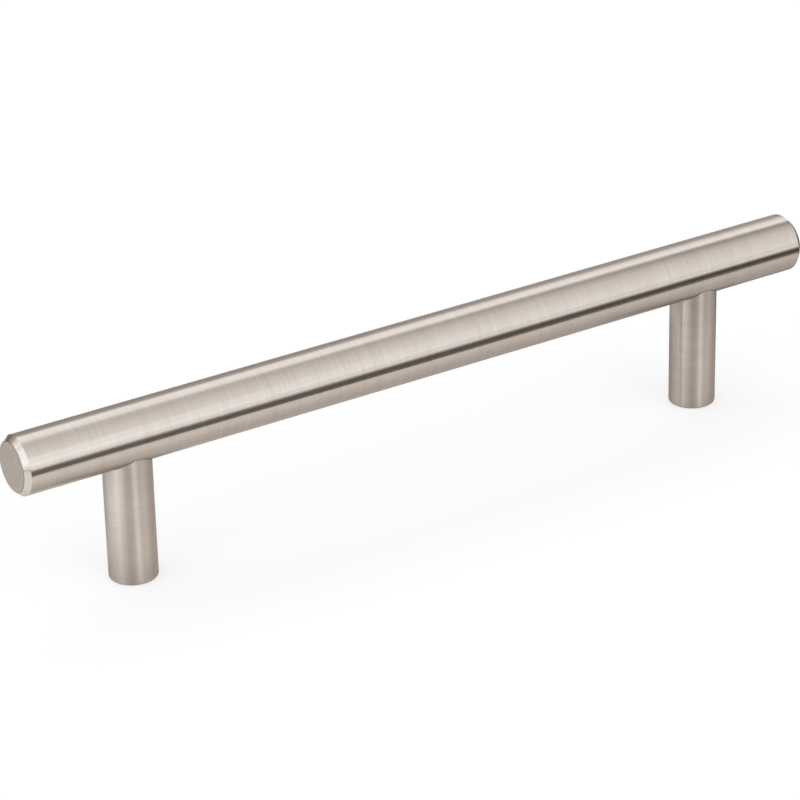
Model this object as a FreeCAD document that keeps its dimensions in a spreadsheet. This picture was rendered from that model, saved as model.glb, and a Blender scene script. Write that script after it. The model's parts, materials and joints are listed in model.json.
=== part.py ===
"""T-bar cabinet pull: one solid round bar on two turned posts, joined by threaded studs that don't show.

Lengths are in millimetres. The origin lies midway between the posts on the plane of their feet, which is the
face of the door or drawer that the pull is screwed to. +X runs along the bar and +Z points from the feet to
the bar.
"""

import FreeCAD
import Part
import Sketcher
import math
import os

# Driving dimensions: alias, value and what it measures
DIMENSIONS = [
    ("post_spacing", 128.0, "post axis to post axis, a standard hole spacing"),
    ("end_overhang", 23.0, "post axis to the bar's end beyond it"),
    ("bar_dia", 11.5, "bar diameter"),
    ("end_chamfer_along", 1.1, "end chamfer, measured along the bar"),
    ("end_chamfer_across", 1.0, "end chamfer, measured on the radius"),
    ("post_dia", 9.3, "post diameter"),
    ("projection", 34.7, "plane of the feet to the outermost line of the bar"),
    ("foot_edge_radius", 0.3, "rounded edge round each foot"),
    ("fixing_bore_dia", 3.45, "drilled wall of the 8-32 thread in each foot"),
    ("fixing_bore_depth", 12.0, "full-width depth of that hole"),
    ("fixing_sink_dia", 4.5, "mouth of its countersink"),
    ("fixing_sink_angle", 90.0, "included angle of its countersink"),
    ("stud_dia", 5.0, "M5 joining stud"),
    ("stud_engagement", 6.5, "stud inside the bar, and the same inside the post"),
    ("stud_edge_chamfer", 0.5, "chamfer round each end of a stud"),
    ("stud_side_clearance", 0.05, "stud to the wall of its hole, on the radius"),
    ("stud_end_clearance", 0.5, "stud's end to the full-width end of its hole"),
    ("hex_across_flats", 2.5, "key socket in a stud's lower end"),
    ("hex_depth", 2.5, "depth of the key socket"),
    ("drill_point_angle", 118.0, "included angle at the end of each drilled hole"),
]

# Expressions that more than one feature uses
BAR_AXIS_HEIGHT = "sizes.projection - sizes.bar_dia / 2"
SADDLE_HEIGHT = "sizes.projection - sizes.bar_dia"
STUD_HOLE_DIA = "sizes.stud_dia + 2 * sizes.stud_side_clearance"
STUD_HOLE_DEPTH = "sizes.stud_engagement + sizes.stud_end_clearance"
HALF_SPACING = "sizes.post_spacing / 2"

ORIGIN_POINT = (-1, 1)
SIDES = {"left": "-", "right": ""}


def make_sheet(doc):
    """Keeps every driving dimension in a sheet, one row each, under its alias."""
    sheet = doc.addObject("Spreadsheet::Sheet", "sizes")
    for row, (alias, value, meaning) in enumerate(DIMENSIONS, start=1):
        sheet.set(f"A{row}", meaning)
        sheet.set(f"B{row}", str(value))
        sheet.setAlias(f"B{row}", alias)
    doc.recompute()
    return sheet


def bind(feature, **expressions):
    """Binds properties of a feature to expressions in the sheet's aliases."""
    for name, expression in expressions.items():
        feature.setExpression(name, expression)


def make_body(doc, label):
    body = doc.addObject("PartDesign::Body", label)
    body.Label = label
    return body


def make_sketch(body, name, plane, height=None):
    """Attaches a sketch to an origin plane of its own body, or at a height above that plane."""
    sketch = body.newObject("Sketcher::SketchObject", name)
    support = next(part for part in body.Origin.OriginFeatures if part.Role == plane)
    sketch.AttachmentSupport = [(support, "")]
    sketch.MapMode = "FlatFace"
    if height:
        sketch.setExpression("AttachmentOffset.Base.z", height)
    return sketch


def constrain(sketch, expression, kind, *geometry):
    """Adds a dimension to a sketch and binds its value to an expression."""
    number = sketch.addConstraint(Sketcher.Constraint(kind, *geometry, 1.0))
    sketch.setExpression(f"Constraints[{number}]", expression)


def add_circle(sketch, diameter, across=None, up=None):
    """Draws a circle on the sketch's origin, or at distances across and up from it."""
    middle = FreeCAD.Vector(1 if across else 0, 1 if up else 0, 0)
    circle = sketch.addGeometry(Part.Circle(middle, FreeCAD.Vector(0, 0, 1), 1), False)
    constrain(sketch, diameter, "Diameter", circle)
    centre = (circle, 3)
    if across is None and up is None:
        sketch.addConstraint(Sketcher.Constraint("Coincident", *centre, *ORIGIN_POINT))
        return
    constrain(sketch, across or "0", "DistanceX", *ORIGIN_POINT, *centre)
    constrain(sketch, up or "0", "DistanceY", *ORIGIN_POINT, *centre)


def add_hexagon(sketch, across_flats):
    """Draws a regular hexagon on the sketch's origin, inside a construction circle through its corners."""
    corners = []
    for number in range(6):
        angle = math.radians(60 * number)
        corners.append(FreeCAD.Vector(math.cos(angle), math.sin(angle), 0))
    sides = []
    for number, corner in enumerate(corners):
        sides.append(sketch.addGeometry(Part.LineSegment(corner, corners[(number + 1) % 6]), False))
    round_corners = sketch.addGeometry(Part.Circle(FreeCAD.Vector(), FreeCAD.Vector(0, 0, 1), 1), True)
    sketch.addConstraint(Sketcher.Constraint("Coincident", round_corners, 3, *ORIGIN_POINT))
    for number, side in enumerate(sides):
        following = sides[(number + 1) % 6]
        sketch.addConstraint(Sketcher.Constraint("Coincident", side, 2, following, 1))
        sketch.addConstraint(Sketcher.Constraint("PointOnObject", side, 1, round_corners))
        if number:
            sketch.addConstraint(Sketcher.Constraint("Equal", sides[0], side))
    sketch.addConstraint(Sketcher.Constraint("PointOnObject", sides[0], 1, -1))
    constrain(sketch, f"{across_flats} / cos(30)", "Diameter", round_corners)


def add_feature(body, kind, name, sketch):
    feature = body.newObject(f"PartDesign::{kind}", name)
    feature.Profile = sketch
    sketch.Visibility = False
    return feature


def add_hole(body, name, sketch, diameter, depth, upwards=False):
    """Drills a blind hole with a pointed end from the plane of its sketch."""
    body.Document.recompute()
    hole = add_feature(body, "Hole", name, sketch)
    hole.DepthType = "Dimension"
    hole.DrillPoint = "Angled"
    hole.DrillForDepth = False
    hole.Reversed = upwards
    bind(hole, Diameter=diameter, Depth=depth, DrillPointAngle="sizes.drill_point_angle")
    return hole


def edges_on(body, place):
    """Names the edges of a body's last feature whose every point passes the test."""
    body.Document.recompute()
    names = []
    for number, edge in enumerate(body.Tip.Shape.Edges, start=1):
        if all(place(point) for point in edge.discretize(8)):
            names.append(f"Edge{number}")
    return body.Tip, names


def make_bar(doc, sheet):
    """The grip: a round bar with chamfered ends and a blind hole over each post."""
    body = make_body(doc, "bar")
    section = make_sketch(body, "bar_section", "YZ_Plane")
    add_circle(section, "sizes.bar_dia", up=BAR_AXIS_HEIGHT)
    pad = add_feature(body, "Pad", "bar_blank", section)
    pad.Midplane = True
    bind(pad, Length="sizes.post_spacing + 2 * sizes.end_overhang")

    half_length = sheet.post_spacing / 2 + sheet.end_overhang
    for end, sign in (("left", -1), ("right", 1)):
        chamfer_edges = edges_on(body, lambda point: abs(point.x - sign * half_length) < 1e-6)
        chamfer = body.newObject("PartDesign::Chamfer", f"{end}_end_chamfer")
        chamfer.Base = chamfer_edges
        chamfer.ChamferType = "Two distances"
        bind(chamfer, Size="sizes.end_chamfer_along", Size2="sizes.end_chamfer_across")

    mouths = make_sketch(body, "stud_hole_places", "XY_Plane", SADDLE_HEIGHT)
    for sign in SIDES.values():
        add_circle(mouths, STUD_HOLE_DIA, across=f"{sign}{HALF_SPACING}")
    add_hole(body, "stud_holes", mouths, STUD_HOLE_DIA, STUD_HOLE_DEPTH, upwards=True)
    return body


def make_post(doc, sheet, side):
    """A turned post with its top cut to the bar, a tapped foot and a blind hole for the stud."""
    body = make_body(doc, f"post_{side}")
    section = make_sketch(body, f"post_{side}_section", "XY_Plane")
    add_circle(section, "sizes.post_dia")
    pad = add_feature(body, "Pad", f"post_{side}_blank", section)
    bind(pad, Length=BAR_AXIS_HEIGHT)

    saddle_section = make_sketch(body, f"post_{side}_saddle_section", "YZ_Plane")
    add_circle(saddle_section, "sizes.bar_dia", up=BAR_AXIS_HEIGHT)
    saddle = add_feature(body, "Pocket", f"post_{side}_saddle", saddle_section)
    saddle.Midplane = True
    bind(saddle, Length="2 * sizes.post_dia")

    foot_edge = edges_on(body, lambda point: abs(point.z) < 1e-6)
    fillet = body.newObject("PartDesign::Fillet", f"post_{side}_foot_edge")
    fillet.Base = foot_edge
    bind(fillet, Radius="sizes.foot_edge_radius")

    stud_place = make_sketch(body, f"post_{side}_stud_place", "XY_Plane", BAR_AXIS_HEIGHT)
    add_circle(stud_place, STUD_HOLE_DIA)
    add_hole(body, f"post_{side}_stud_hole", stud_place, STUD_HOLE_DIA, f"sizes.bar_dia / 2 + {STUD_HOLE_DEPTH}")

    fixing_place = make_sketch(body, f"post_{side}_fixing_place", "XY_Plane")
    add_circle(fixing_place, "sizes.fixing_bore_dia")
    fixing = add_hole(
        body, f"post_{side}_fixing_hole", fixing_place, "sizes.fixing_bore_dia", "sizes.fixing_bore_depth", upwards=True
    )
    fixing.HoleCutType = "Countersink"
    bind(fixing, HoleCutDiameter="sizes.fixing_sink_dia", HoleCutCountersinkAngle="sizes.fixing_sink_angle")

    bind(body, **{"Placement.Base.x": f"{SIDES[side]}{HALF_SPACING}"})
    return body


def make_stud(doc, sheet, side):
    """A joining stud, half in the bar and half in the post, with its key socket towards the foot."""
    body = make_body(doc, f"stud_{side}")
    section = make_sketch(body, f"stud_{side}_section", "XY_Plane")
    add_circle(section, "sizes.stud_dia")
    pad = add_feature(body, "Pad", f"stud_{side}_blank", section)
    pad.Midplane = True
    bind(pad, Length="2 * sizes.stud_engagement")

    end_edges = edges_on(body, lambda point: abs(abs(point.z) - sheet.stud_engagement) < 1e-6)
    chamfer = body.newObject("PartDesign::Chamfer", f"stud_{side}_end_chamfers")
    chamfer.Base = end_edges
    bind(chamfer, Size="sizes.stud_edge_chamfer")

    key = make_sketch(body, f"stud_{side}_key_section", "XY_Plane", "-sizes.stud_engagement")
    add_hexagon(key, "sizes.hex_across_flats")
    socket = add_feature(body, "Pocket", f"stud_{side}_key_socket", key)
    socket.Reversed = True
    bind(socket, Length="sizes.hex_depth")

    bind(body, **{"Placement.Base.x": f"{SIDES[side]}{HALF_SPACING}", "Placement.Base.z": SADDLE_HEIGHT})
    return body


def check(doc, bodies):
    """Stops if a feature failed or a piece isn't one sound solid."""
    for item in doc.Objects:
        if "Invalid" in item.State or "Error" in item.State:
            raise RuntimeError(f"{item.Label} failed: {item.State}")
    for body in bodies:
        shape = body.Shape
        if shape.isNull() or not shape.isValid() or len(shape.Solids) != 1:
            raise RuntimeError(f"{body.Label} isn't one valid solid")


def main():
    doc = FreeCAD.newDocument("t_bar_cabinet_pull")
    sheet = make_sheet(doc)
    bodies = [make_bar(doc, sheet)]
    for side in SIDES:
        bodies.append(make_post(doc, sheet, side))
        bodies.append(make_stud(doc, sheet, side))
    doc.recompute()
    check(doc, bodies)
    os.makedirs("parts", exist_ok=True)
    for body in bodies:
        body.Shape.exportStep(f"parts/{body.Label}.step")
        print(f"{body.Label}: {body.Shape.Volume:.2f} mm3, {body.Shape.BoundBox}")


main()
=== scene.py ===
"""Looks of a t bar cabinet pull: a satin nickel bar on two round posts, in a soft pale studio."""

import bisect
import json
import math

import bmesh
import bpy
from mathutils import Matrix, Vector


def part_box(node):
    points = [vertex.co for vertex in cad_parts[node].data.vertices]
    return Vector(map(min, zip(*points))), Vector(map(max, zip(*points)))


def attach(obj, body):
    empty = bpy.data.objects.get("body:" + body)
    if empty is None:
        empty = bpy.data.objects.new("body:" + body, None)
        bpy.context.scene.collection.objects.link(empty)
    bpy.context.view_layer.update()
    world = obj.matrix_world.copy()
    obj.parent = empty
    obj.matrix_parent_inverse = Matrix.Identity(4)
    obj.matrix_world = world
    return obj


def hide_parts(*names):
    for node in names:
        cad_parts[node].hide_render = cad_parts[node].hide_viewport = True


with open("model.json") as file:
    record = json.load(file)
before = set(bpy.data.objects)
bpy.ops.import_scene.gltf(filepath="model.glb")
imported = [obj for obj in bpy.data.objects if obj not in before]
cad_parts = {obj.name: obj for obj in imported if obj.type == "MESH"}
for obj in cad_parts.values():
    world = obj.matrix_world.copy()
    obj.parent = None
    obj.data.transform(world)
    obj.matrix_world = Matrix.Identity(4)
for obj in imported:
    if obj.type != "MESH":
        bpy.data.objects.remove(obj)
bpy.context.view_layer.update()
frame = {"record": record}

MM = 0.001

# Sizes taken from the solids.
bar_low, bar_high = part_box("bar")
post_low, post_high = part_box("post_right")
stud_low, stud_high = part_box("stud_right")
fixing = next(mount for mount in frame["record"]["mounts"] if mount["name"] == "fixing_right")
BAR_RADIUS = bar_high.y
BAR_AXIS = bar_low.z + BAR_RADIUS
BAR_END = bar_high.x
POST_RADIUS = (post_high.x - post_low.x) / 2
POST_PLACE = (post_high.x + post_low.x) / 2
STUD_RADIUS = (stud_high.x - stud_low.x) / 2
STUD_FOOT = stud_low.z
STUD_TOP = stud_high.z
FIXING_RADIUS = fixing["dims"]["r_mm"] * MM
SIDES = (("left", -POST_PLACE), ("right", POST_PLACE))

# Sizes of the bar's ends.
END_FACE_RADIUS = 4.75 * MM
END_CHAMFER = 1.1 * MM
FACE_EDGE = 0.16 * MM
WALL_EDGE = 0.07 * MM
EDGE_GUARD = 0.06 * MM

# Sizes of a post's top and foot, with its tapped fixing hole.
SADDLE_LIP = 0.12 * MM
SADDLE_ROUNDING = SADDLE_LIP * 0.8
FOOT_EDGE = 0.45 * MM
SINK_RADIUS = 2.25 * MM
SINK_DEPTH = SINK_RADIUS - FIXING_RADIUS
SINK_EDGE = 0.03 * MM
FIXING_DEPTH = 12 * MM
FIXING_PITCH = 0.794 * MM
FIXING_TOOTH = 0.36 * MM
FIXING_THREAD_FOOT = SINK_DEPTH + 0.02 * MM
FIXING_THREAD_TOP = 10.6 * MM

# Sizes of a stud and of the tapped holes round it.
STUD_PITCH = 0.8 * MM
STUD_TOOTH = 0.44 * MM
STUD_CHAMFER = 0.5 * MM
STUD_CLEARANCE = 0.05 * MM
STUD_END_GAP = 0.5 * MM
STUD_TAP_RADIUS = STUD_RADIUS + STUD_CLEARANCE - STUD_TOOTH
STUD_HOLE_FLOOR = STUD_FOOT - STUD_END_GAP
STUD_HOLE_ROOF = STUD_TOP + STUD_END_GAP
STUD_THREAD_START = 0.3 * MM
STUD_MOUTH_DEPTH = 0.8 * MM
STUD_MOUTH_RADIUS = STUD_RADIUS + 0.1 * MM
SOCKET_HALF_WIDTH = 1.25 * MM
SOCKET_DEPTH = 2.5 * MM
DRILL_HALF_ANGLE = math.radians(118 / 2)
THREAD_HALF_ANGLE = math.radians(30)
THREAD_HALF_FLAT = 1 / 16

# Plain rings on the long walls, so that only a short band of faces meets a saddle, a foot or a hole.
RING_BESIDE_JOINT = 3 * MM
RING_UNDER_SADDLE = 1.5 * MM
RING_OVER_FOOT = 5 * MM

# How finely the pieces are made.
BAR_SIDES = 192
POST_SIDES = 144
STUD_SIDES = 96
TAP_SIDES = 72
FOOT_STEPS = 8
SINK_STEPS = 2
SADDLE_STEPS = 6
RINGS_PER_PITCH = 10
SMOOTH_BELOW = math.radians(24)
MERGE_WITHIN = 1e-8
ON_AXIS = 1e-7
MAP_UNIT = 10 * MM

# The floor lies just under the feet, and reaches this many metres each way.
FLOOR_GAP = 0.05 * MM
FLOOR_REACH = 4

CAMERA_PLACE = Vector((-327.94, -517.96, 317.15)) * MM
CAMERA_AIM = Vector((-3.33, 3.01, 17.5)) * MM
CAMERA_ROLL = math.radians(-1.4)
CAMERA_LENS = 160.82
CAMERA_SENSOR = 36

# What is done to a ring of points once it is turned.
PLAIN, SADDLE, THREAD, SOCKET = range(4)

# Places of the finishes in the materials of a bar, a post and a stud.
BAR_BRUSHED, BAR_FACE, BAR_CHAMFER, BAR_BORE, BAR_PAINTED_SHADE_LINE = range(5)
POST_BRUSHED, POST_GROUND, POST_BORE = range(3)
STUD_PLATED = 0


def eased_corner(before, corner, after, radius, steps=4):
    """Rounds a corner of an outline, with a guard point just outside each end of the rounding.

    The points before and after the corner only say which way its two sides go.
    """
    corner = Vector(corner)
    first = (Vector(before) - corner).normalized()
    second = (Vector(after) - corner).normalized()
    half = first.angle(second) / 2
    reach = radius / math.tan(half)
    centre = corner + (first + second).normalized() * radius / math.sin(half)
    start = (corner + first * reach - centre).normalized()
    end = (corner + second * reach - centre).normalized()
    points = [corner + first * (reach + EDGE_GUARD)]
    points += [centre + start.slerp(end, step / steps) * radius for step in range(steps + 1)]
    points.append(corner + second * (reach + EDGE_GUARD))
    return [(point.x, point.y) for point in points]


def stretch(points, finish, shape=PLAIN):
    """Gives points of an outline, as (radius, height), the finish and the shape of what follows them."""
    return [(radius, height, finish, shape) for radius, height in points]


def mirrored(outline, last_finish):
    """A plain outline run backwards, at the opposite heights. The finish at its end is given."""
    backwards = outline[::-1]
    finishes = [finish for _, _, finish, _ in backwards[1:]] + [last_finish]
    return [(point[0], -point[1], finish, PLAIN) for point, finish in zip(backwards, finishes)]


def threaded_wall(radius, start, end, pitch, finish):
    """Closely spaced rings along a hole or a stud, on which a thread can be wound."""
    count = max(1, round(abs(end - start) / pitch * RINGS_PER_PITCH))
    heights = [start + (end - start) * step / count for step in range(count + 1)]
    return stretch([(radius, height) for height in heights], finish, THREAD)


def turned(outline, sides):
    """Spins an outline round the Z axis. Its UV map runs along the outline and round the axis."""
    mesh = bmesh.new()
    run_of = mesh.verts.layers.float.new("run")
    shape_of = mesh.verts.layers.int.new("shape")
    runs = []
    previous = None
    for radius, height, finish, shape in outline:
        vert = mesh.verts.new((radius, 0, height))
        runs.append(runs[-1] + (vert.co - previous.co).length if runs else 0.0)
        vert[run_of] = runs[-1]
        vert[shape_of] = shape
        if previous:
            mesh.edges.new((previous, vert))
        previous = vert
    bmesh.ops.spin(
        mesh,
        geom=mesh.verts[:] + mesh.edges[:],
        cent=(0, 0, 0),
        axis=(0, 0, 1),
        angle=math.tau,
        steps=sides,
        use_merge=True,
    )
    bmesh.ops.remove_doubles(mesh, verts=mesh.verts[:], dist=MERGE_WITHIN)
    bmesh.ops.recalc_face_normals(mesh, faces=mesh.faces[:])
    uv = mesh.loops.layers.uv.new("brushing")
    for face in mesh.faces:
        middle = face.calc_center_median()
        turn = math.atan2(middle.y, middle.x)
        along = sum(vert[run_of] for vert in face.verts) / len(face.verts)
        face.material_index = outline[bisect.bisect(runs, along) - 1][2]
        for loop in face.loops:
            place = loop.vert.co
            own = turn if math.hypot(place.x, place.y) < ON_AXIS else math.atan2(place.y, place.x)
            own += math.tau * round((turn - own) / math.tau)
            loop[uv].uv = (loop.vert[run_of] / MAP_UNIT, own / math.tau)
    return mesh


def tooth(phase, flank):
    """How far a thread stands out from its inner radius, from 0 to 1, round one pitch."""
    from_middle = abs((phase + 0.5) % 1 - 0.5)
    return min(1, max(0, (THREAD_HALF_FLAT + flank - from_middle) / flank))


def wind_thread(mesh, low, high, inner, depth, pitch):
    """Moves the rings between two heights to a right-hand thread, which fades out at its ends."""
    shape_of = mesh.verts.layers.int["shape"]
    flank = depth * math.tan(THREAD_HALF_ANGLE) / pitch
    for vert in mesh.verts:
        if vert[shape_of] != THREAD or not low <= vert.co.z <= high:
            continue
        turn = math.atan2(vert.co.y, vert.co.x) / math.tau
        fade = min(1, (vert.co.z - low) / (pitch / 2), (high - vert.co.z) / (pitch / 2))
        radius = inner + depth * fade * tooth(vert.co.z / pitch - turn, flank)
        flat = Vector((vert.co.x, vert.co.y)).normalized() * radius
        vert.co.x, vert.co.y = flat


def saddle_height(across):
    """Height of the bar's underside at a distance across it from its centre line."""
    return BAR_AXIS - math.sqrt(BAR_RADIUS ** 2 - across ** 2)


def finished_piece(name, mesh, finishes):
    """Makes the object of a finished mesh, smooth except over sharp edges."""
    for face in mesh.faces:
        face.smooth = True
    for edge in mesh.edges:
        edge.smooth = edge.is_manifold and edge.calc_face_angle() < SMOOTH_BELOW
    data = bpy.data.meshes.new(name)
    mesh.to_mesh(data)
    mesh.free()
    for finish in finishes:
        data.materials.append(finish)
    piece = bpy.data.objects.new(name, data)
    bpy.context.scene.collection.objects.link(piece)
    return piece


def stud_hole(floor, mouth, finish):
    """Outline of a tapped blind hole for a stud, from its drilled point to its mouth."""
    toward = 1 if mouth > floor else -1
    point = floor - toward * STUD_TAP_RADIUS / math.tan(DRILL_HALF_ANGLE)
    wall = threaded_wall(STUD_TAP_RADIUS, floor + toward * STUD_THREAD_START, mouth, STUD_PITCH, finish)
    return stretch([(0, point), (STUD_TAP_RADIUS, floor)], finish) + wall


def bar_outline():
    """Outline of the bar, from the middle of its right end face to the middle of its left one."""
    inner = (END_FACE_RADIUS, BAR_END)
    outer = (BAR_RADIUS, BAR_END - END_CHAMFER)
    face_corner = eased_corner((0, BAR_END), inner, outer, FACE_EDGE)
    wall_corner = eased_corner(inner, outer, (BAR_RADIUS, 0), WALL_EDGE)
    end = stretch([(0, BAR_END), (END_FACE_RADIUS / 2, BAR_END), face_corner[0]], BAR_FACE)
    # The small rounding round the end face is painted dark: painted shade standing in for the dark reflection
    # in it.
    end += stretch(face_corner[1:-1], BAR_PAINTED_SHADE_LINE)
    end += stretch(face_corner[-1:] + wall_corner[:-1], BAR_CHAMFER)
    end += stretch(wall_corner[-1:], BAR_BRUSHED)
    right = [POST_PLACE + RING_BESIDE_JOINT, POST_PLACE - RING_BESIDE_JOINT]
    places = right + [0] + [-place for place in reversed(right)]
    wall = stretch([(BAR_RADIUS, place) for place in places], BAR_BRUSHED)
    return end + wall + mirrored(end, BAR_FACE)


def tap_bar(bar, side, place, finishes):
    """Cuts one tapped hole for a stud into the underside of the bar."""
    mouth = bar_low.z - MM
    drill = stud_hole(STUD_HOLE_ROOF, mouth, BAR_BORE)
    drill += stretch([(0, mouth)], BAR_BORE)
    tool = turned(drill, TAP_SIDES)
    wind_thread(tool, mouth, STUD_HOLE_ROOF - STUD_THREAD_START, STUD_TAP_RADIUS, STUD_TOOTH, STUD_PITCH)
    bmesh.ops.translate(tool, verts=tool.verts[:], vec=(place, 0, 0))
    cutter = finished_piece("tap_" + side, tool, finishes)
    cut = bar.modifiers.new("tapped_hole_" + side, "BOOLEAN")
    cut.operation = "DIFFERENCE"
    cut.solver = "EXACT"
    cut.object = cutter
    bpy.context.view_layer.update()
    result = bar.evaluated_get(bpy.context.evaluated_depsgraph_get())
    cut_mesh = bpy.data.meshes.new_from_object(result)
    bar.modifiers.clear()
    bar.data = cut_mesh
    bpy.data.objects.remove(cutter)


def make_bar(finishes):
    """The round bar: eased chamfers, flat ground ends and two tapped holes for the studs."""
    mesh = turned(bar_outline(), BAR_SIDES)
    lying = Matrix.Rotation(math.radians(90), 3, "Y")
    bmesh.ops.rotate(mesh, verts=mesh.verts[:], cent=(0, 0, 0), matrix=lying)
    bmesh.ops.translate(mesh, verts=mesh.verts[:], vec=(0, 0, BAR_AXIS))
    uv = mesh.loops.layers.uv["brushing"]
    for face in mesh.faces:
        if face.material_index == BAR_FACE:
            for loop in face.loops:
                loop[uv].uv = (loop.vert.co.y / MAP_UNIT, loop.vert.co.z / MAP_UNIT)
    bar = finished_piece("satin_bar", mesh, finishes)
    for side, place in SIDES:
        tap_bar(bar, side, place, finishes)
    bar.data.name = "satin_bar"
    return bar


def post_outline(top):
    """Outline of a post, from its stud's hole over the saddle and down the wall to its fixing hole."""
    outline = stud_hole(STUD_HOLE_FLOOR, top - STUD_MOUTH_DEPTH, POST_BORE)
    seat = POST_RADIUS - SADDLE_LIP - STUD_MOUTH_RADIUS
    rings = [(STUD_MOUTH_RADIUS + seat * step / SADDLE_STEPS, top) for step in range(SADDLE_STEPS + 1)]
    outline += stretch(rings, POST_GROUND, SADDLE)
    lip = eased_corner((0, top), (POST_RADIUS, top), (POST_RADIUS, 0), SADDLE_ROUNDING)
    outline += stretch(lip[1:], POST_BRUSHED, SADDLE)
    wall = [(POST_RADIUS, top - RING_UNDER_SADDLE), (POST_RADIUS, RING_OVER_FOOT)]
    foot = eased_corner((POST_RADIUS, 1), (POST_RADIUS, 0), (0, 0), FOOT_EDGE, FOOT_STEPS)
    outline += stretch(wall + foot[:-1], POST_BRUSHED)
    outline += stretch(foot[-1:], POST_GROUND)
    sink_foot = (FIXING_RADIUS, SINK_DEPTH)
    sink = eased_corner((POST_RADIUS, 0), (SINK_RADIUS, 0), sink_foot, SINK_EDGE, SINK_STEPS)
    outline += stretch(sink, POST_GROUND)
    outline += stretch([sink_foot], POST_BORE)
    outline += threaded_wall(FIXING_RADIUS, FIXING_THREAD_FOOT, FIXING_THREAD_TOP, FIXING_PITCH, POST_BORE)
    drill_point = FIXING_DEPTH + FIXING_RADIUS / math.tan(DRILL_HALF_ANGLE)
    outline += stretch([(FIXING_RADIUS, FIXING_DEPTH), (0, drill_point)], POST_BORE)
    return outline


def make_post(side, place, finishes):
    """A round post: its top fits the bar, its foot has a rounded edge and a tapped fixing hole."""
    top = saddle_height(0)
    mesh = turned(post_outline(top), POST_SIDES)
    shape_of = mesh.verts.layers.int["shape"]
    for vert in mesh.verts:
        if vert[shape_of] == SADDLE:
            vert.co.z += saddle_height(vert.co.y) - top
    wind_thread(mesh, STUD_HOLE_FLOOR, top, STUD_TAP_RADIUS, STUD_TOOTH, STUD_PITCH)
    wind_thread(mesh, 0, FIXING_THREAD_TOP, FIXING_RADIUS, FIXING_TOOTH, FIXING_PITCH)
    bmesh.ops.translate(mesh, verts=mesh.verts[:], vec=(place, 0, 0))
    return finished_piece("satin_post_" + side, mesh, finishes)


def make_stud(side, place, finishes):
    """The threaded stud inside a joint, with a hex socket in its lower end."""
    socket_top = STUD_FOOT + SOCKET_DEPTH
    shoulder = STUD_RADIUS - STUD_CHAMFER
    low, high = STUD_FOOT + STUD_CHAMFER, STUD_TOP - STUD_CHAMFER
    outline = stretch([(0, socket_top)], STUD_PLATED)
    outline += stretch([(SOCKET_HALF_WIDTH, socket_top), (SOCKET_HALF_WIDTH, STUD_FOOT)], STUD_PLATED, SOCKET)
    outline += stretch([(shoulder, STUD_FOOT)], STUD_PLATED)
    outline += threaded_wall(STUD_RADIUS, low, high, STUD_PITCH, STUD_PLATED)
    outline += stretch([(shoulder, STUD_TOP), (0, STUD_TOP)], STUD_PLATED)
    mesh = turned(outline, STUD_SIDES)
    shape_of = mesh.verts.layers.int["shape"]
    side_of_hex = math.tau / 6
    for vert in mesh.verts:
        if vert[shape_of] == SOCKET:
            turn = math.atan2(vert.co.y, vert.co.x) % side_of_hex
            reach = 1 / math.cos(turn - side_of_hex / 2)
            vert.co.x *= reach
            vert.co.y *= reach
    wind_thread(mesh, low, high, STUD_RADIUS - STUD_TOOTH, STUD_TOOTH, STUD_PITCH)
    bmesh.ops.translate(mesh, verts=mesh.verts[:], vec=(place, 0, 0))
    return finished_piece("joining_stud_" + side, mesh, finishes)


class Number:
    """A number in a shader. Sums on it add Math nodes."""

    def __init__(self, nodes, socket):
        self.nodes = nodes
        self.socket = socket

    def maths(self, operation, *values):
        made = self.nodes.add("ShaderNodeMath", {"operation": operation}, dict(enumerate(values)))
        return Number(self.nodes, made.outputs[0])

    def __add__(self, other):
        return self.maths("ADD", self, other)

    def __sub__(self, other):
        return self.maths("SUBTRACT", self, other)

    def __rsub__(self, other):
        return self.maths("SUBTRACT", other, self)

    def __neg__(self):
        return self.maths("SUBTRACT", 0, self)

    def __mul__(self, other):
        return self.maths("MULTIPLY", self, other)

    def __truediv__(self, other):
        return self.maths("DIVIDE", self, other)

    __radd__ = __add__
    __rmul__ = __mul__

    def size(self):
        return self.maths("ABSOLUTE", self)

    def root(self):
        return self.maths("SQRT", self)

    def degrees_over(self, run):
        """The angle, in degrees, of a slope that rises by this number over a run."""
        return self.maths("ARCTAN2", self, run) * (180 / math.pi)

    def rise(self, start, end):
        """0 at start and 1 at end, with a soft rise between."""
        made = self.nodes.add(
            "ShaderNodeMapRange",
            {"interpolation_type": "SMOOTHSTEP"},
            {"Value": self, "From Min": start, "From Max": end},
        )
        return Number(self.nodes, made.outputs["Result"])


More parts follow.
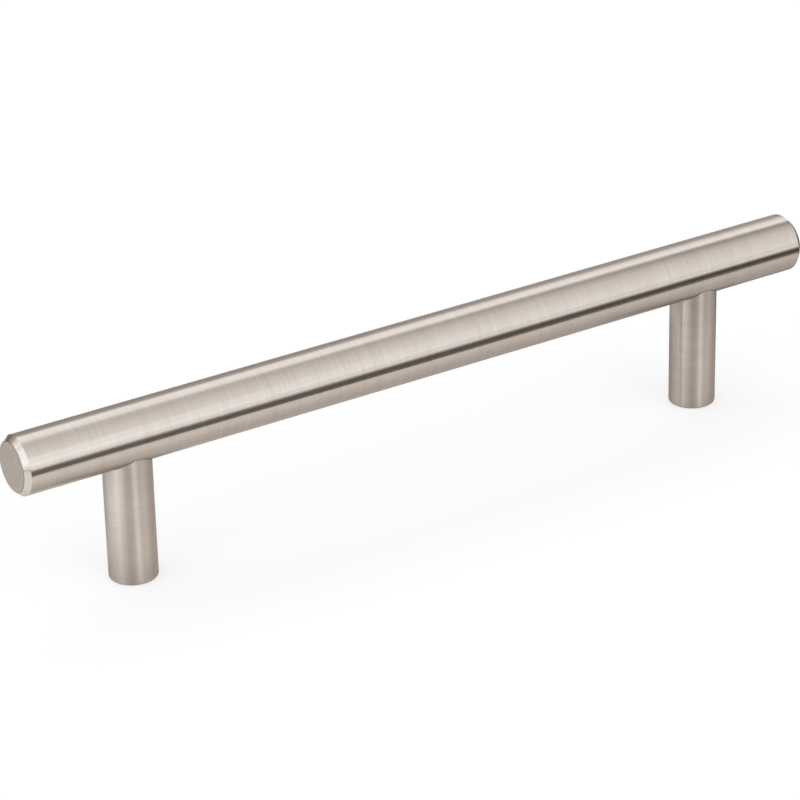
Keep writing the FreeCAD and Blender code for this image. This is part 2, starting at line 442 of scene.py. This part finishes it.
class Nodes:
    """The nodes of one material or of the world."""

    def __init__(self, owner):
        owner.use_nodes = True
        self.tree = owner.node_tree
        self.tree.nodes.clear()

    def add(self, kind, settings=None, sockets=None):
        """Adds a node: first its settings, then the values or links of its sockets."""
        made = self.tree.nodes.new(kind)
        for name, value in (settings or {}).items():
            if name == "stops":
                lay_stops(made.color_ramp, value)
            else:
                setattr(made, name, value)
        for name, value in (sockets or {}).items():
            if isinstance(value, Number):
                value = value.socket
            if isinstance(value, bpy.types.NodeSocket):
                self.tree.links.new(value, made.inputs[name])
            else:
                made.inputs[name].default_value = value
        return made

    def number(self, kind, output, settings=None, sockets=None):
        return Number(self, self.add(kind, settings, sockets).outputs[output])

    def parts(self, vector):
        """The X, Y and Z of a vector, as numbers."""
        split = self.add("ShaderNodeSeparateXYZ", {}, {0: vector})
        return [Number(self, split.outputs[axis]) for axis in "XYZ"]

    def vector(self, operation, sockets):
        return self.add("ShaderNodeVectorMath", {"operation": operation}, sockets).outputs[0]

    def blend(self, share, first, second):
        """A colour between two others: the first at a share of 0, and the second at 1."""
        settings = {"data_type": "RGBA", "clamp_factor": True}
        return self.add("ShaderNodeMix", settings, {"Factor": share, 6: first, 7: second}).outputs[2]

    def either(self, share, first, second):
        """A surface or light between two others: the first at a share of 0, and the second at 1."""
        return self.add("ShaderNodeMixShader", {}, {0: share, 1: first, 2: second}).outputs[0]

    def metal_surface(self, sockets):
        """Ends a material in bare metal with the given sockets."""
        shader = self.add("ShaderNodeBsdfPrincipled", {}, {"Metallic": 1.0, **sockets})
        self.add("ShaderNodeOutputMaterial", {}, {"Surface": shader.outputs[0]})


def lay_stops(ramp, stops):
    """Sets a ramp's stops, each given as (place, level)."""
    ramp.interpolation = "EASE"
    while len(ramp.elements) > 1:
        ramp.elements.remove(ramp.elements[-1])
    for index, (place, level) in enumerate(stops):
        element = ramp.elements[0] if index == 0 else ramp.elements.new(place)
        element.position = place
        element.color = (level, level, level, 1)


def from_stops(place, low, high, stops):
    """Reads a level off a row of (place, level) stops between a lowest and a highest place."""
    top = max(level for _, level in stops)
    ramp = [((stop - low) / (high - low), level / top) for stop, level in stops]
    shade = place.nodes.number("ShaderNodeValToRGB", 0, {"stops": ramp}, {0: (place - low) / (high - low)})
    return shade * top


SATIN_NICKEL = (0.68, 0.60, 0.54, 1)
SAWN_NICKEL = (0.61, 0.545, 0.50, 1)
# A dark colour for the rounded edge round a bar's end face: painted shade standing in for the dark reflection
# in that small rounding.
PAINTED_EDGE_SHADE = (0.29, 0.255, 0.23, 1)
STEEL = (0.42, 0.42, 0.43, 1)

# Brushing: marks to a metre along the piece and round it, the noise's detail, and how strong the finest are.
TILTING_GRAIN = (1500, 80, 2, 0.8)
GRAIN_SHIFT = (41.3, 43.1, 44.9)
GRAIN_CONTRAST = 2.5
GRAIN_ROUGHNESS = 0.01

# The painted shade on the bar's underside by the joints stands in for the shadow there. It lies a little to
# the left of the joints.
CORNER_SHIFT = 2 * MM
CORNER_HEIGHT = (BAR_AXIS - BAR_RADIUS * 0.8, BAR_AXIS - BAR_RADIUS * 0.5)
CORNER_REACH = (POST_RADIUS * 1.2, POST_RADIUS * 3)
PAINTED_CORNER_SHADE = 0.25

# Size of a grinding mark along each axis, in metres, before the grain is turned.
GROUND_MARK = (0.016, 0.0004, 0.007)
GROUND_CONTRAST = 2
GROUND_ROUGHNESS = 0.05

PLATING_CLOUDS = 700
PLATING_SHADE = 0.1
PLATING_ROUGHNESS = 0.3
PLATING_ROUGHENING = 0.12


def tinted(colour, share):
    """A colour at a share of its brightness."""
    return (*(channel * share for channel in colour[:3]), 1)


def streaks(metal, place, lengthwise, fine, long, detail, finest):
    """Noise that changes quickly along a piece and slowly round it, as brushing does."""
    scale = [long] * 3
    scale[lengthwise] = fine
    settings = {"Vector": place, "Scale": scale, "Location": GRAIN_SHIFT}
    mapped = metal.add("ShaderNodeMapping", {}, settings).outputs[0]
    sockets = {"Vector": mapped, "Scale": 1, "Detail": detail, "Roughness": finest, "Lacunarity": 2.3}
    return metal.number("ShaderNodeTexNoise", "Fac", {}, sockets)


def painted_joint_shade(metal, place):
    """Where shade is painted: 1 on the bar's underside by a joint, and 0 away from it."""
    along, across, height = metal.parts(place)
    beside = along.size() - POST_PLACE + (along.rise(-MM, MM) * 2 - 1) * CORNER_SHIFT
    from_joint = (beside * beside + across * across).root()
    low = 1 - height.rise(*CORNER_HEIGHT)
    return low * (1 - from_joint.rise(*CORNER_REACH))


def brushed_nickel(name, lengthwise, roughness, grain, streak, lean, paint_joint_shade=False):
    """Satin nickel, brushed round a piece. Where asked, the bar's underside by the joints is darkened:
    painted shade standing in for the shadow there.
    """
    material = bpy.data.materials.new(name)
    metal = Nodes(material)
    place = metal.add("ShaderNodeTexCoord").outputs["Object"]
    tone = (streaks(metal, place, lengthwise, *grain) - 0.5) * GRAIN_CONTRAST + 0.5
    colour = metal.blend(tone, tinted(SATIN_NICKEL, 1 - streak), tinted(SATIN_NICKEL, 1 + streak))
    # Painted shade: the underside by the joints is darkened, standing in for the shadow there.
    if paint_joint_shade:
        colour = metal.blend(painted_joint_shade(metal, place), colour, tinted(SATIN_NICKEL, PAINTED_CORNER_SHADE))
    axis = [0.0, 0.0, 0.0]
    axis[lengthwise] = 1.0
    straight = metal.add("ShaderNodeNewGeometry").outputs["Normal"]
    sideways = metal.vector("CROSS_PRODUCT", {0: axis, 1: straight})
    tilt = (streaks(metal, place, lengthwise, *TILTING_GRAIN) - 0.5) * lean
    leaned = metal.vector("SCALE", {0: sideways, "Scale": tilt})
    total = metal.vector("ADD", {0: straight, 1: leaned})
    tangent = metal.add("ShaderNodeTangent", {"direction_type": "UV_MAP", "uv_map": "brushing"})
    metal.metal_surface(
        {
            "Base Color": colour,
            "Roughness": roughness + (tone - 0.5) * GRAIN_ROUGHNESS,
            "Anisotropic": 1.0,
            "Normal": metal.vector("NORMALIZE", {0: total}),
            "Tangent": tangent.outputs[0],
        }
    )
    return material


def ground_nickel(name, grain, roughness, shade, depth):
    """Satin nickel on a small face, with fine straight grinding marks across the given direction."""
    material = bpy.data.materials.new(name)
    metal = Nodes(material)
    place = metal.add("ShaderNodeTexCoord").outputs["Object"]
    settings = {"Vector": place, "Rotation": grain, "Scale": GROUND_MARK}
    mapped = metal.add("ShaderNodeMapping", {"vector_type": "TEXTURE"}, settings)
    sockets = {"Vector": mapped.outputs[0], "Scale": 1, "Detail": 3, "Roughness": 0.8}
    marks = metal.number("ShaderNodeTexNoise", "Fac", {}, sockets)
    tone = (marks - 0.5) * GROUND_CONTRAST + 0.5
    colour = metal.blend(tone, tinted(shade, 1 - depth), tinted(shade, 1 + depth))
    metal.metal_surface({"Base Color": colour, "Roughness": roughness + tone * GROUND_ROUGHNESS})
    return material


def machined_steel(name):
    """Zinc-plated steel as it comes from the thread cutter, with a slightly cloudy plating."""
    material = bpy.data.materials.new(name)
    metal = Nodes(material)
    place = metal.add("ShaderNodeTexCoord").outputs["Object"]
    sockets = {"Vector": place, "Scale": PLATING_CLOUDS, "Detail": 3}
    clouds = metal.number("ShaderNodeTexNoise", "Fac", {}, sockets)
    colour = metal.blend(clouds, tinted(STEEL, 1 - PLATING_SHADE), tinted(STEEL, 1 + PLATING_SHADE))
    metal.metal_surface({"Base Color": colour, "Roughness": PLATING_ROUGHNESS + clouds * PLATING_ROUGHENING})
    return material


FULL_TURN = (-180, 180)

# The studio's light, as (angle, level) stops, where a level of 1 is white. The angle goes round the bar, in
# degrees: 0 is straight in front, 90 overhead, 180 behind and -90 below. The levels of these and of the
# other stops below are rounded from a fit of the metal's brightness, which was made outside this script.
STUDIO_NEAR = (
    (-180, 0.30),  # low back wall
    (-90, 0.35),  # floor
    (-40, 0.05),  # dark card below the front
    (-16, 0.20),
    (-7, 0.15),
    (-1, 0.70),  # soft box in front
    (5, 0.95),
    (18, 1.25),
    (34, 1.35),
    (48, 1.00),  # pale ceiling
    (68, 0.90),
    (84, 0.85),
    (97, 0.95),
    (108, 1.10),  # strip light high behind
    (120, 1.15),
    (132, 1.40),
    (140, 0.95),
    (150, 0.35),  # dark back wall
    (164, 0.40),
    (180, 0.15),
)
# The same for light that comes from further along the bar.
STUDIO_ALONG = (
    (-180, 0.80),  # low back wall
    (-90, 0.45),  # floor
    (-40, 0.10),  # dark card below the front
    (-16, 0.00),
    (-10, 0.65),  # low strip in front
    (-4, 0.85),
    (2, 0.40),
    (18, 0.50),
    (34, 0.80),  # pale ceiling
    (48, 0.90),
    (68, 0.80),
    (84, 0.60),
    (94, 0.35),
    (103, 0.00),  # dark gap
    (110, 0.50),
    (117, 1.40),  # strip light high behind
    (132, 1.10),
    (145, 0.65),
    (158, 0.50),  # dim back wall
    (180, 0.30),
)
# Windows at eye level, by compass angle from the bar's own direction: -90 is in front and 90 behind.
WINDOWS = (
    (-180, 2.90),  # window on the left
    (-168, 2.90),
    (-156, 1.60),
    (-144, 0.75),
    (-130, 0.00),  # dark wall
    (-116, 0.00),
    (-104, 0.55),
    (-92, 1.60),  # window in front
    (-82, 1.25),
    (-70, 0.00),  # dark wall, a little lighter on the right
    (-50, 0.50),
    (-20, 0.15),
    (60, 0.00),
    (100, 0.15),
    (140, 1.45),  # far side of the window on the left
    (180, 2.15),
)
# The table's brightness, by distance behind the pull's middle, in millimetres. The dip under and behind the
# pull is its painted shadow.
TABLE = (
    (-60, 0.60),
    (-44, 0.80),
    (-30, 0.75),
    (-15, 0.60),
    (0, 0.50),
    (15, 0.50),
    (40, 0.35),
    (62, 0.80),
    (100, 0.95),
)
TABLE_SPAN = (-100, 100)

# Where one light gives way to another, as the start and end of a soft rise. Each is a part of a direction
# and runs from -1 to 1. The windows hide the light round the bar, except on the open side, to the right.
FURTHER_ALONG = (0.33, 0.63)
WINDOW_SILL = (-0.18, -0.02)
WINDOW_HEAD = (0.2, 0.5)
OPEN_SIDE_START = (-0.25, 0.05)
OPEN_SIDE_END = (0.75, 0.95)
LEFT_PANEL_ALONG = (0.62, 0.8)
LEFT_PANEL_HEIGHT = (0.2, 0.42)
LEFT_PANEL_LEVEL = 1.4
NOT_ZERO = 1e-6

# Dim light is a little warm and bright light a little cool.
WARM_LIGHT = (1.06, 1, 0.955, 1)
COOL_LIGHT = (0.92, 1, 1.045, 1)
WARM_LEVEL = 0.5
WARM_TO_COOL = 0.85

# The floor that the camera sees, which is white apart from a soft shadow.
FLOOR_COLOUR = (0.51, 0.5, 0.5, 1)
FLOOR_GLOW = 0.56

# The table that the metal sees, in millimetres. Its front edge swells on the left and then runs out further.
TABLE_FRONT = 49
TABLE_SWELL = 14
TABLE_SWELL_LEFT = (-45, 65)
TABLE_RUN_OUT = 60
TABLE_RUN_OUT_LEFT = (110, 220)
TABLE_EDGE = (-1, 1)
TABLE_REACH = (200, 400)
# It grows darker to the right, by a share for each millimetre, and more so behind the pull.
TABLE_FALL = 0.001
TABLE_FALL_BEHIND = 0.0025
TABLE_BEHIND = (0, 15)
# It carries a painted shadow round the posts. Past the left end of the pull it is brighter, and dimmer again
# behind.
POST_SHADE = 0.2
POST_SHADE_REACH = (3, 18)
PAST_LEFT_END = (75, 103)
PAST_END_FALL = 0.4
PAST_END_BEHIND = (0, 50)


def studio_tint(nodes, level):
    """The tint of a light by its level."""
    return nodes.blend((level - WARM_LEVEL) / WARM_TO_COOL, WARM_LIGHT, COOL_LIGHT)


def make_world():
    """The studio that the metal reflects. The camera sees plain white."""
    world = bpy.data.worlds.new("soft_studio")
    studio = Nodes(world)
    along, across, up = studio.parts(studio.add("ShaderNodeTexCoord").outputs["Generated"])

    round_bar = up.degrees_over(-across)
    further = along.size().rise(*FURTHER_ALONG)
    near_light = from_stops(round_bar, *FULL_TURN, STUDIO_NEAR)
    far_light = from_stops(round_bar, *FULL_TURN, STUDIO_ALONG)
    level = near_light * (1 - further) + far_light * further

    windows = from_stops(across.degrees_over(along), *FULL_TURN, WINDOWS)
    rightward = along / (along * along + across * across + NOT_ZERO).root()
    eye_level = up.rise(*WINDOW_SILL) * (1 - up.rise(*WINDOW_HEAD))
    open_side = rightward.rise(*OPEN_SIDE_START) * (1 - rightward.rise(*OPEN_SIDE_END))
    level = level * (1 - eye_level * (1 - open_side)) + windows * eye_level
    left_panel = (-along).rise(*LEFT_PANEL_ALONG) * up.rise(*LEFT_PANEL_HEIGHT)
    level = level * (1 - left_panel) + left_panel * LEFT_PANEL_LEVEL

    tint = studio_tint(studio, level)
    metal_sees = studio.add("ShaderNodeBackground", {}, {"Color": tint, "Strength": level})
    camera_sees = studio.add("ShaderNodeBackground", {}, {"Color": (1, 1, 1, 1), "Strength": 1})
    seen = studio.add("ShaderNodeLightPath").outputs["Is Camera Ray"]
    mixed = studio.either(seen, metal_sees.outputs[0], camera_sees.outputs[0])
    studio.add("ShaderNodeOutputWorld", {}, {"Surface": mixed})
    bpy.context.scene.world = world


def table_level(along, across):
    """How bright the table glows at a place on it, with the pull's shadows painted in."""
    fall = across.rise(*TABLE_BEHIND) * TABLE_FALL_BEHIND + TABLE_FALL
    beside_post = along.size() - POST_PLACE / MM
    from_post = (beside_post * beside_post + across * across).root()
    post_shade = from_post.rise(*POST_SHADE_REACH) * POST_SHADE + (1 - POST_SHADE)
    shaded = from_stops(across, *TABLE_SPAN, TABLE) * (1 - along * fall) * post_shade
    past_end = (-along).rise(*PAST_LEFT_END)
    beyond = 1 - across.rise(*PAST_END_BEHIND) * PAST_END_FALL
    return shaded * (1 - past_end) + beyond * past_end


def make_floor():
    """A plain pale floor with a soft shadow. The metal sees it as a glowing table whose front edge is near,
    with the pull's shadows painted on it.
    """
    mesh = bmesh.new()
    bmesh.ops.create_grid(mesh, x_segments=1, y_segments=1, size=FLOOR_REACH)
    bmesh.ops.translate(mesh, verts=mesh.verts[:], vec=(0, 0, -FLOOR_GAP))
    material = bpy.data.materials.new("pale_floor")
    floor = Nodes(material)
    matt = floor.add("ShaderNodeBsdfDiffuse", {}, {"Color": FLOOR_COLOUR})
    glow = floor.add("ShaderNodeEmission", {}, {"Color": (1, 1, 1, 1), "Strength": FLOOR_GLOW})
    pale = floor.add("ShaderNodeAddShader", {}, {0: matt.outputs[0], 1: glow.outputs[0]})

    place = floor.parts(floor.add("ShaderNodeTexCoord").outputs["Object"])
    along, across = (part * (1 / MM) for part in place[:2])
    swell = (-along).rise(*TABLE_SWELL_LEFT) * -TABLE_SWELL
    front_edge = swell - TABLE_FRONT - (-along).rise(*TABLE_RUN_OUT_LEFT) * TABLE_RUN_OUT
    from_middle = (along * along + across * across).root()
    on_table = (across - front_edge).rise(*TABLE_EDGE) * (1 - from_middle.rise(*TABLE_REACH))
    level = table_level(along, across)
    table = floor.add("ShaderNodeEmission", {}, {"Color": studio_tint(floor, level), "Strength": level})
    clear = floor.add("ShaderNodeBsdfTransparent").outputs[0]
    metal_sees = floor.either(on_table, clear, table.outputs[0])

    seen = floor.add("ShaderNodeLightPath").outputs["Is Camera Ray"]
    from_above = floor.either(seen, metal_sees, pale.outputs[0])
    below = floor.add("ShaderNodeNewGeometry").outputs["Backfacing"]
    one_sided = floor.either(below, from_above, clear)
    floor.add("ShaderNodeOutputMaterial", {}, {"Surface": one_sided})
    finished_piece("studio_floor", mesh, [material])


def make_camera():
    """The camera at the photograph's place and angle. It is held a little askew."""
    data = bpy.data.cameras.new("camera")
    data.lens = CAMERA_LENS
    data.sensor_width = CAMERA_SENSOR
    camera = bpy.data.objects.new("camera", data)
    way = (CAMERA_AIM - CAMERA_PLACE).to_track_quat("-Z", "Y").to_matrix().to_4x4()
    camera.matrix_world = Matrix.Translation(CAMERA_PLACE) @ way @ Matrix.Rotation(CAMERA_ROLL, 4, "Z")
    bpy.context.scene.collection.objects.link(camera)
    bpy.context.scene.camera = camera


bar_finish = brushed_nickel(
    "satin_nickel_bar",
    lengthwise=0,
    roughness=0.18,
    grain=(400, 20, 3, 1.0),
    streak=0.048,
    lean=0.012,
    # Painted shade under the bar by the joints.
    paint_joint_shade=True,
)
post_finish = brushed_nickel(
    "satin_nickel_post",
    lengthwise=2,
    roughness=0.285,
    grain=(300, 40, 3, 1.0),
    streak=0.06,
    lean=0.006,
)
end_finish = ground_nickel("satin_nickel_end", (math.radians(45), 0, 0), 0.3, SAWN_NICKEL, 0.15)
edge_finish = ground_nickel("satin_nickel_edge", (0, 0, 0), 0.13, SATIN_NICKEL, 0.03)
# Painted shade on the rounded edge round the end face.
painted_shade_line_finish = ground_nickel("painted_shade_edge_line", (0, 0, 0), 0.3, PAINTED_EDGE_SHADE, 0.1)
foot_finish = ground_nickel("satin_nickel_foot", (0, 0, math.radians(20)), 0.3, SATIN_NICKEL, 0.1)
bore_finish = machined_steel("bare_tapped_metal")
stud_finish = machined_steel("zinc_plated_stud")

bar = make_bar([bar_finish, end_finish, edge_finish, bore_finish, painted_shade_line_finish])
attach(bar, "root")
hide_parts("bar")
for side, place in SIDES:
    post = make_post(side, place, [post_finish, foot_finish, bore_finish])
    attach(post, "root")
    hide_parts("post_" + side)
    stud = make_stud(side, place, [stud_finish])
    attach(stud, "root")
    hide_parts("stud_" + side)

make_floor()
make_world()
make_camera()
bpy.context.scene.view_settings.view_transform = "Standard"
